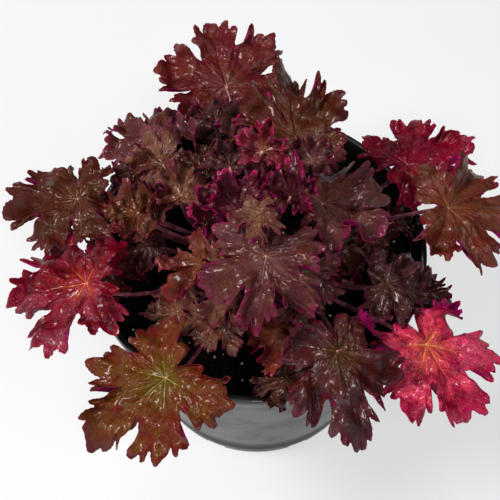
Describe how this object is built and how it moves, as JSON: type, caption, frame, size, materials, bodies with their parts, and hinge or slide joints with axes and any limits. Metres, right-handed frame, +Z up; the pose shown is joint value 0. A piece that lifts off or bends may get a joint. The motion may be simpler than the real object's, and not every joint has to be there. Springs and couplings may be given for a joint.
{
  "type": "potted heuchera plant",
  "caption": "Low mound of lobed, frilled bronze and crimson leaves on thin stalks, in a round black nursery pot.",
  "frame": {"origin": "centre of the pot's underside, on the surface it stands on", "axes": "+Z up, -Y towards the side shown to the viewer, +X to the viewer's right"},
  "size_m": [0.2506, 0.2503, 0.2226],
  "materials": {
    "pot_plastic": "thin black nursery pot plastic with a soft sheen",
    "potting_mix": "dark moist peat with a few pale grains",
    "crown_bark": "dull brown scaly bark",
    "leaf_plum": "dark plum leaf with a soft gloss",
    "leaf_bronze": "bronze brown leaf with a soft gloss",
    "leaf_crimson": "crimson leaf, glossy",
    "leaf_copper": "copper leaf, glossy",
    "leaf_olive": "olive leaf edged with red, glossy",
    "leaf_magenta": "young leaf showing its magenta underside"
  },
  "bodies": {
    "root": {"pot": "pot_plastic", "soil": "potting_mix", "crown": "crown_bark", "leaf_young_pink": "leaf_crimson", "leaf_magenta_fold": "leaf_magenta", "leaf_centre": "leaf_plum", "leaf_middle_cup": "leaf_magenta", "leaf_middle_olive": "leaf_olive", "leaf_middle_frill": "leaf_plum", "leaf_upper_frill": "leaf_plum", "leaf_beige_left": "leaf_olive", "leaf_right_ruffle": "leaf_plum", "leaf_right_frill": "leaf_plum", "leaf_upright_dark": "leaf_bronze", "leaf_back_ruffle": "leaf_magenta", "leaf_dark_magenta": "leaf_magenta", "leaf_copper": "leaf_copper", "leaf_beige_ruffle": "leaf_olive", "leaf_dark_back": "leaf_bronze", "leaf_olive_cup": "leaf_olive", "leaf_back_grey": "leaf_plum", "leaf_centre_right": "leaf_plum", "leaf_right_under": "leaf_bronze", "leaf_olive_under": "leaf_olive", "leaf_back_magenta": "leaf_magenta", "leaf_left_cup_high": "leaf_bronze", "leaf_back_left_plum": "leaf_plum", "leaf_right_plum": "leaf_plum", "leaf_right_magenta": "leaf_magenta", "leaf_front_right_crimson": "leaf_crimson", "leaf_right_bronze": "leaf_bronze", "leaf_front_dark": "leaf_plum", "leaf_left_crimson": "leaf_crimson", "leaf_left_bronze": "leaf_bronze", "leaf_beige_right": "leaf_olive", "leaf_beige_front": "leaf_olive", "leaf_right_plum_tip": "leaf_plum", "leaf_front_orange": "leaf_copper", "leaf_left_copper_cup": "leaf_copper", "leaf_left_mid": "leaf_plum", "leaf_front_left_olive": "leaf_olive", "leaf_beige_low": "leaf_olive", "leaf_back_small": "leaf_plum", "leaf_back_left_bronze": "leaf_bronze", "leaf_left_dark_low": "leaf_plum", "leaf_back_long": "leaf_plum", "leaf_back_right_crimson": "leaf_crimson", "leaf_olive_low": "leaf_olive", "leaf_left_small": "leaf_bronze", "leaf_front_low": "leaf_olive", "leaf_low_orange": "leaf_copper", "leaf_low_red": "leaf_crimson", "leaf_back_left_low": "leaf_bronze", "leaf_back_low": "leaf_plum", "leaf_back_right_low": "leaf_bronze"}
  },
  "joints": []
}
